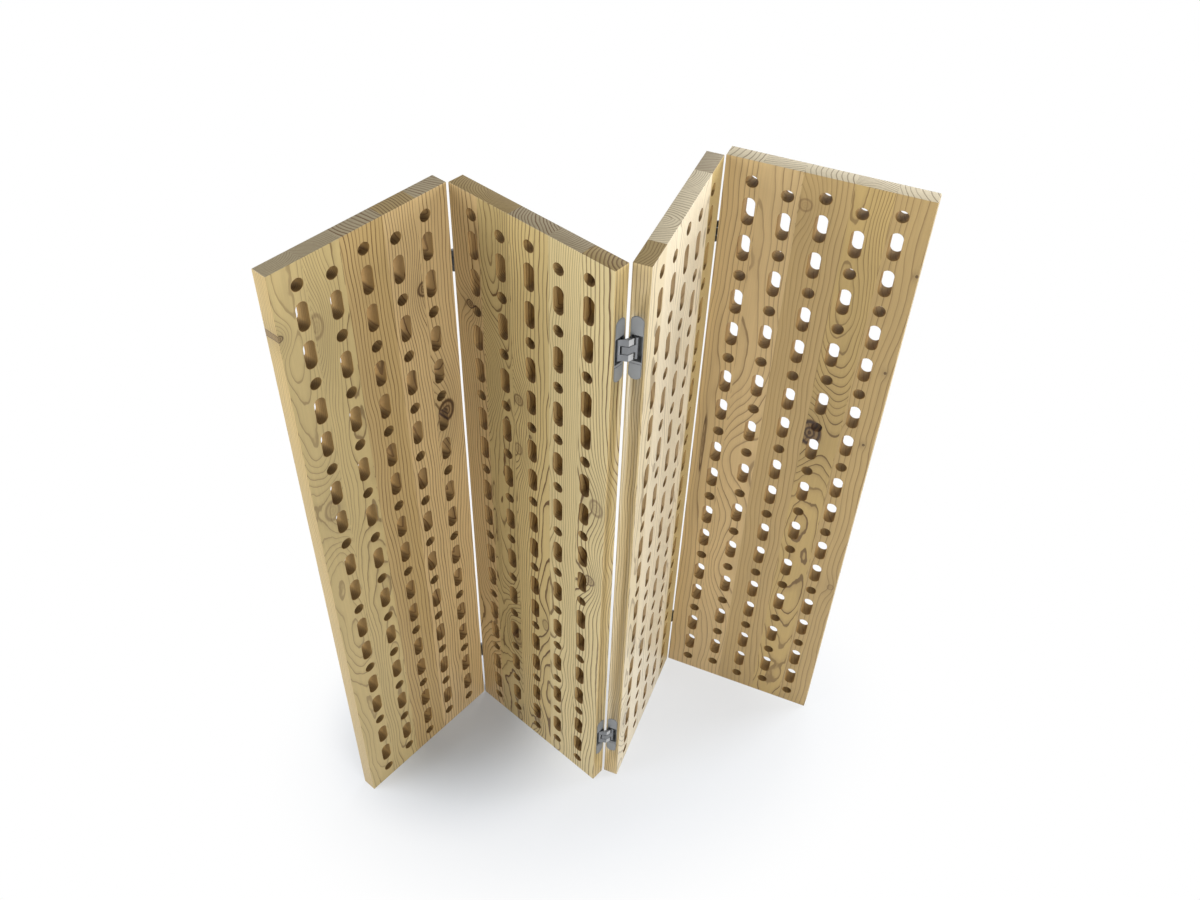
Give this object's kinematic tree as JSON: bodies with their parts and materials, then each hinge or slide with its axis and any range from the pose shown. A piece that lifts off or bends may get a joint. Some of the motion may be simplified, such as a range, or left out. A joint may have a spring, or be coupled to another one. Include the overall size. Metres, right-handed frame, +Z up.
{
  "type": "room divider",
  "caption": "Free-standing folding screen: thick edge-glued wooden panels pierced with columns of round and slotted holes, joined by concealed hinges let into their edges.",
  "frame": {"origin": "on the floor, at the centre of the footprint of the screen as it stands half open", "axes": "+Z up, +X along the run of the screen from the first panel to the last, -Y towards the viewer"},
  "size_m": [1.3704, 0.4016, 1.8],
  "materials": {
    "wood": "fine sanded, matt oil",
    "hinge_housing": "satin",
    "hinge_cover": "satin",
    "hinge_arm": "satin",
    "steel": "bright drawn"
  },
  "bodies": {
    "panel_1": {"panel_1_hinge_covers": "hinge_cover", "panel_1_hinge_screws": "steel", "panel_1_pivot_pins": "steel", "panel_1_stave_1": "wood", "panel_1_stave_2": "wood", "panel_1_stave_3": "wood", "panel_1_stave_4": "wood", "panel_1_stave_5": "wood", "fold_1_lower_left_housing": "hinge_housing", "fold_1_upper_left_housing": "hinge_housing"},
    "arms_1": {"fold_1_centre_pins": "steel", "fold_1_lower_fork_arm": "hinge_arm", "fold_1_lower_tongue_arm": "hinge_arm", "fold_1_upper_fork_arm": "hinge_arm", "fold_1_upper_tongue_arm": "hinge_arm"},
    "panel_2": {"panel_2_hinge_covers": "hinge_cover", "panel_2_hinge_screws": "steel", "panel_2_pivot_pins": "steel", "panel_2_stave_1": "wood", "panel_2_stave_2": "wood", "panel_2_stave_3": "wood", "panel_2_stave_4": "wood", "panel_2_stave_5": "wood", "fold_2_lower_left_housing": "hinge_housing", "fold_2_upper_left_housing": "hinge_housing", "fold_1_lower_right_housing": "hinge_housing", "fold_1_upper_right_housing": "hinge_housing"},
    "arms_2": {"fold_2_centre_pins": "steel", "fold_2_lower_fork_arm": "hinge_arm", "fold_2_lower_tongue_arm": "hinge_arm", "fold_2_upper_fork_arm": "hinge_arm", "fold_2_upper_tongue_arm": "hinge_arm"},
    "panel_3": {"panel_3_hinge_covers": "hinge_cover", "panel_3_hinge_screws": "steel", "panel_3_pivot_pins": "steel", "panel_3_stave_1": "wood", "panel_3_stave_2": "wood", "panel_3_stave_3": "wood", "panel_3_stave_4": "wood", "panel_3_stave_5": "wood", "fold_3_lower_left_housing": "hinge_housing", "fold_3_upper_left_housing": "hinge_housing", "fold_2_lower_right_housing": "hinge_housing", "fold_2_upper_right_housing": "hinge_housing"},
    "arms_3": {"fold_3_centre_pins": "steel", "fold_3_lower_fork_arm": "hinge_arm", "fold_3_lower_tongue_arm": "hinge_arm", "fold_3_upper_fork_arm": "hinge_arm", "fold_3_upper_tongue_arm": "hinge_arm"},
    "panel_4": {"panel_4_hinge_covers": "hinge_cover", "panel_4_hinge_screws": "steel", "panel_4_pivot_pins": "steel", "panel_4_stave_1": "wood", "panel_4_stave_2": "wood", "panel_4_stave_3": "wood", "panel_4_stave_4": "wood", "panel_4_stave_5": "wood", "fold_3_lower_right_housing": "hinge_housing", "fold_3_upper_right_housing": "hinge_housing"}
  },
  "joints": [
    {"name": "fold_1", "type": "hinge", "parent": "panel_1", "child": "arms_1", "pos_m": [-0.31485, 0.1671, 0], "axis": [0, 0, -1], "range_deg": [-45.5, 44.5]},
    {"name": "fold_1_far_pivot", "type": "hinge", "parent": "arms_1", "child": "panel_2", "pos_m": [-0.27797, 0.16092, 0], "axis": [0, 0, -1], "range_deg": [-45.5, 44.5]},
    {"name": "fold_2", "type": "hinge", "parent": "panel_2", "child": "arms_2", "pos_m": [-0.0187, -0.17099, 0], "axis": [0, 0, 1], "range_deg": [-55, 35]},
    {"name": "fold_2_far_pivot", "type": "hinge", "parent": "arms_2", "child": "panel_3", "pos_m": [0.0187, -0.17099, 0], "axis": [0, 0, 1], "range_deg": [-55, 35]},
    {"name": "fold_3", "type": "hinge", "parent": "panel_3", "child": "arms_3", "pos_m": [0.27797, 0.16092, 0], "axis": [0, 0, -1], "range_deg": [-45.5, 44.5]},
    {"name": "fold_3_far_pivot", "type": "hinge", "parent": "arms_3", "child": "panel_4", "pos_m": [0.31485, 0.1671, 0], "axis": [0, 0, -1], "range_deg": [-45.5, 44.5]}
  ],
  "couplings": [
    {"joint": "fold_1_far_pivot", "follows": "fold_1", "ratio": 1},
    {"joint": "fold_2_far_pivot", "follows": "fold_2", "ratio": 1},
    {"joint": "fold_3_far_pivot", "follows": "fold_3", "ratio": 1}
  ]
}
